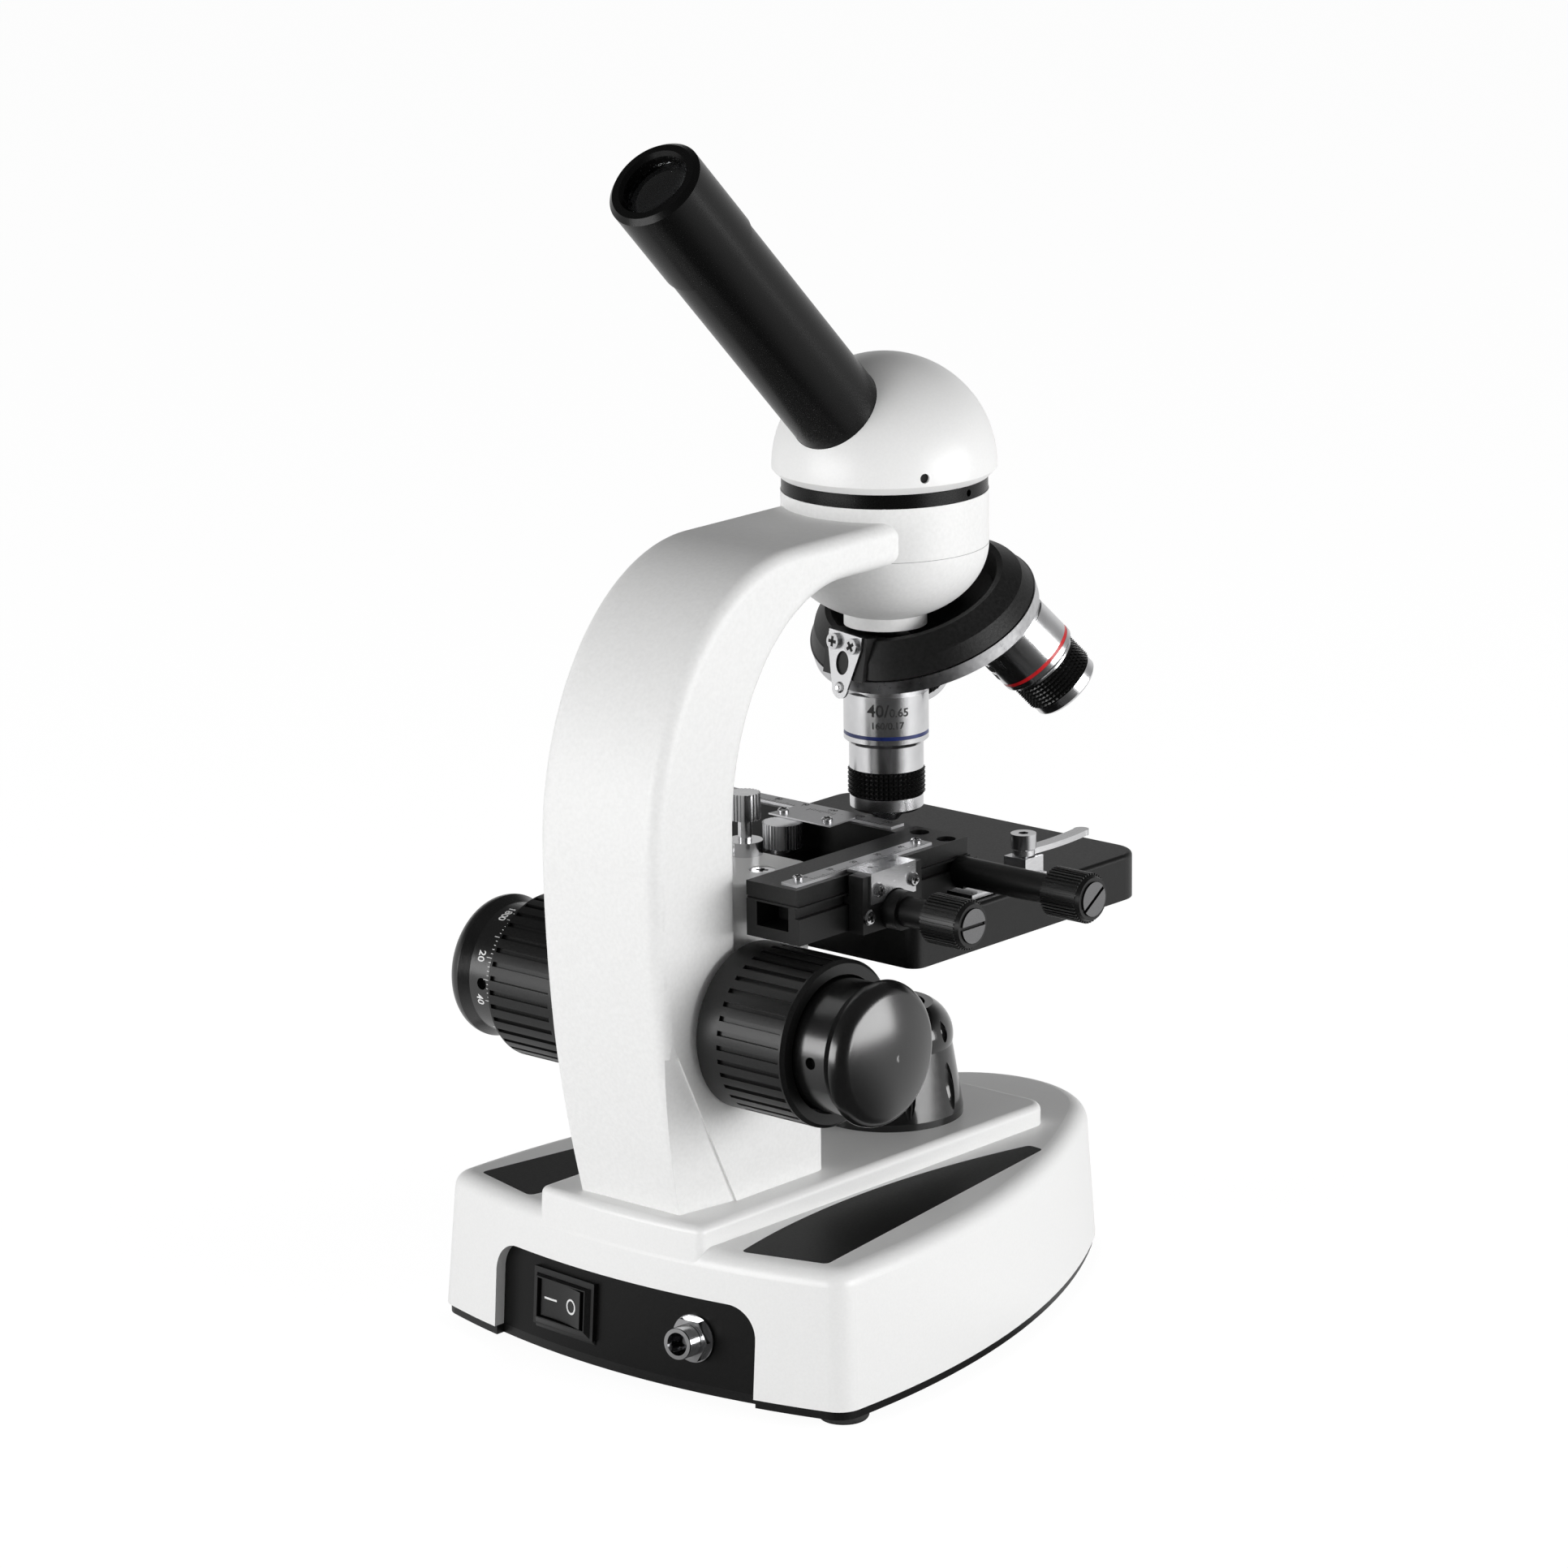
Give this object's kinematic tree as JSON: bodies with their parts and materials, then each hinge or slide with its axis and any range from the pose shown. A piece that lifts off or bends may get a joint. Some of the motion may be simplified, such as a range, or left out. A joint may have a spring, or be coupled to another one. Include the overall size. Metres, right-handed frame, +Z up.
{
  "type": "compound microscope",
  "caption": "Monocular compound microscope on a wedge-shaped base: inclined tube, revolving objectives, mechanical stage with slide holder, coaxial focus knobs and a built-in lamp.",
  "frame": {"origin": "on the table plane under the optical axis of the active objective", "axes": "+Z up along the optical axis, +X to the right seen from the switch panel, -Y towards the arm and the switch panel"},
  "size_m": [0.1679, 0.1931, 0.3401],
  "materials": {
    "white_coat": "fine powder coat",
    "black_coat": "satin black enamel",
    "black_plastic": "satin moulded",
    "gloss_black": "glossy",
    "bright_steel": "bright plated",
    "clear_glass": "polished",
    "foot_rubber": "matt",
    "board_laminate": "solder mask",
    "red_band": "enamel",
    "yellow_band": "enamel",
    "blue_band": "enamel"
  },
  "bodies": {
    "stand": {"base_housing": "white_coat", "base_plate": "black_coat", "base_feet": "foot_rubber", "base_inlays": "gloss_black", "rear_panel": "black_coat", "switch_bezel": "black_plastic", "dc_jack": "bright_steel", "dc_jack_nut": "bright_steel", "circuit_boards": "board_laminate", "lamp_housing": "gloss_black", "lamp_ring": "gloss_black", "lamp_lens": "clear_glass", "arm": "white_coat", "head_ring": "black_coat", "nosepiece_bowl": "white_coat", "nosepiece_housing": "black_coat", "nosepiece_axle": "bright_steel", "click_spring": "bright_steel", "stand_screws": "bright_steel"},
    "switch_rocker": {"switch_rocker": "black_plastic"},
    "head": {"head_dome": "white_coat", "eyepiece_tube": "black_coat", "head_prism": "clear_glass"},
    "eyepiece": {"eyepiece_body": "black_plastic", "eyepiece_lenses": "clear_glass"},
    "turret": {"turret": "bright_steel", "high_power_objective": "bright_steel", "medium_power_objective": "bright_steel", "low_power_objective": "bright_steel", "high_power_band": "blue_band", "medium_power_band": "yellow_band", "low_power_band": "red_band", "objective_grips": "black_plastic", "objective_lenses": "clear_glass"},
    "high_power_nose": {"high_power_nose": "bright_steel", "high_power_lens": "clear_glass"},
    "focus_slide": {"focus_slide": "black_coat"},
    "coarse_knobs": {"coarse_knob_right": "black_plastic", "coarse_knob_left": "black_plastic", "coarse_shaft": "bright_steel"},
    "fine_knobs": {"fine_knob_right": "gloss_black", "fine_knob_left": "gloss_black", "fine_shaft": "bright_steel"},
    "stage": {"stage_plate": "black_coat", "stage_bracket": "white_coat", "condenser_lens": "clear_glass", "stage_screws": "bright_steel", "y_carriage": "black_coat", "y_vernier": "bright_steel"},
    "diaphragm": {"diaphragm_disc": "black_coat"},
    "stop_screw": {"stop_screw": "bright_steel"},
    "y_slide": {"y_bar": "black_coat", "x_bar": "black_coat", "stage_scales": "bright_steel"},
    "thumb_screw": {"thumb_screw": "bright_steel"},
    "y_knob": {"y_knob": "black_plastic"},
    "slide_holder": {"slide_holder": "bright_steel", "clamp_screw": "bright_steel"},
    "clamp_finger": {"clamp_finger": "bright_steel"},
    "x_knob": {"x_knob": "black_plastic"}
  },
  "joints": [
    {"name": "switch_throw", "type": "hinge", "parent": "stand", "child": "switch_rocker", "pos_m": [-0.02086, -0.11312, 0.01837], "axis": [0.0059, 0.0666, 0.9978], "range_deg": [0, 10]},
    {"name": "head_turn", "type": "hinge", "parent": "stand", "child": "head", "pos_m": [0, 0, 0.236], "axis": [0, 0, 1], "continuous": true},
    {"name": "eyepiece_draw", "type": "slide", "parent": "head", "child": "eyepiece", "axis": [0, -0.7071, 0.7071], "range_m": [0, 0.026]},
    {"name": "turret_turn", "type": "hinge", "parent": "stand", "child": "turret", "pos_m": [0, 0, 0.228], "axis": [0, 0.4226, -0.9063], "continuous": true},
    {"name": "nose_retract", "type": "slide", "parent": "turret", "child": "high_power_nose", "axis": [0, 0, 1], "range_m": [0, 0.002], "stiffness_N_per_m": 250, "springref_m": -0.004},
    {"name": "coarse_focus", "type": "slide", "parent": "stand", "child": "focus_slide", "axis": [0, 0, 1], "range_m": [-0.002, 0.0085]},
    {"name": "coarse_turn", "type": "hinge", "parent": "stand", "child": "coarse_knobs", "pos_m": [0, -0.085, 0.1006], "axis": [1, 0, 0], "range_deg": [-22, 90]},
    {"name": "fine_turn", "type": "hinge", "parent": "stand", "child": "fine_knobs", "pos_m": [0, -0.085, 0.1006], "axis": [1, 0, 0], "range_deg": [-905, 905]},
    {"name": "fine_focus", "type": "slide", "parent": "focus_slide", "child": "stage", "axis": [0, 0, 1], "range_m": [-0.0005, 0.0005]},
    {"name": "diaphragm_turn", "type": "hinge", "parent": "stage", "child": "diaphragm", "pos_m": [0, 0.017, 0.116], "axis": [0, 0, 1], "continuous": true},
    {"name": "stop_turn", "type": "hinge", "parent": "stage", "child": "stop_screw", "pos_m": [-0.0035, -0.0565, 0.14], "axis": [0, 0, 1], "continuous": true},
    {"name": "y_move", "type": "slide", "parent": "stage", "child": "y_slide", "axis": [0, 1, 0], "range_m": [-0.01, 0.005]},
    {"name": "y_knob_turn", "type": "hinge", "parent": "stage", "child": "y_knob", "pos_m": [0.05, -0.0564, 0.1316], "axis": [1, 0, 0], "range_deg": [-130, 258]},
    {"name": "thumb_turn", "type": "hinge", "parent": "y_slide", "child": "thumb_screw", "pos_m": [-0.0103, -0.033, 0.137], "axis": [0, 0, 1], "continuous": true},
    {"name": "x_move", "type": "slide", "parent": "y_slide", "child": "slide_holder", "axis": [1, 0, 0], "range_m": [-0.022, 0.022]},
    {"name": "x_knob_turn", "type": "hinge", "parent": "y_slide", "child": "x_knob", "pos_m": [0.05, -0.0215, 0.1339], "axis": [1, 0, 0], "range_deg": [-665, 665]},
    {"name": "clamp_turn", "type": "hinge", "parent": "slide_holder", "child": "clamp_finger", "pos_m": [0.046, 0.0045, 0.134], "axis": [0, 0, 1], "range_deg": [-35, 0], "stiffness_Nm_per_rad": 0.02, "springref_deg": 14.32}
  ],
  "couplings": [
    {"joint": "coarse_turn", "follows": "coarse_focus", "rad_per_m": 181.82},
    {"joint": "fine_turn", "follows": "fine_focus", "rad_per_m": 31416},
    {"joint": "y_knob_turn", "follows": "y_move", "rad_per_m": -444.44},
    {"joint": "x_knob_turn", "follows": "x_move", "rad_per_m": 523.6}
  ]
}
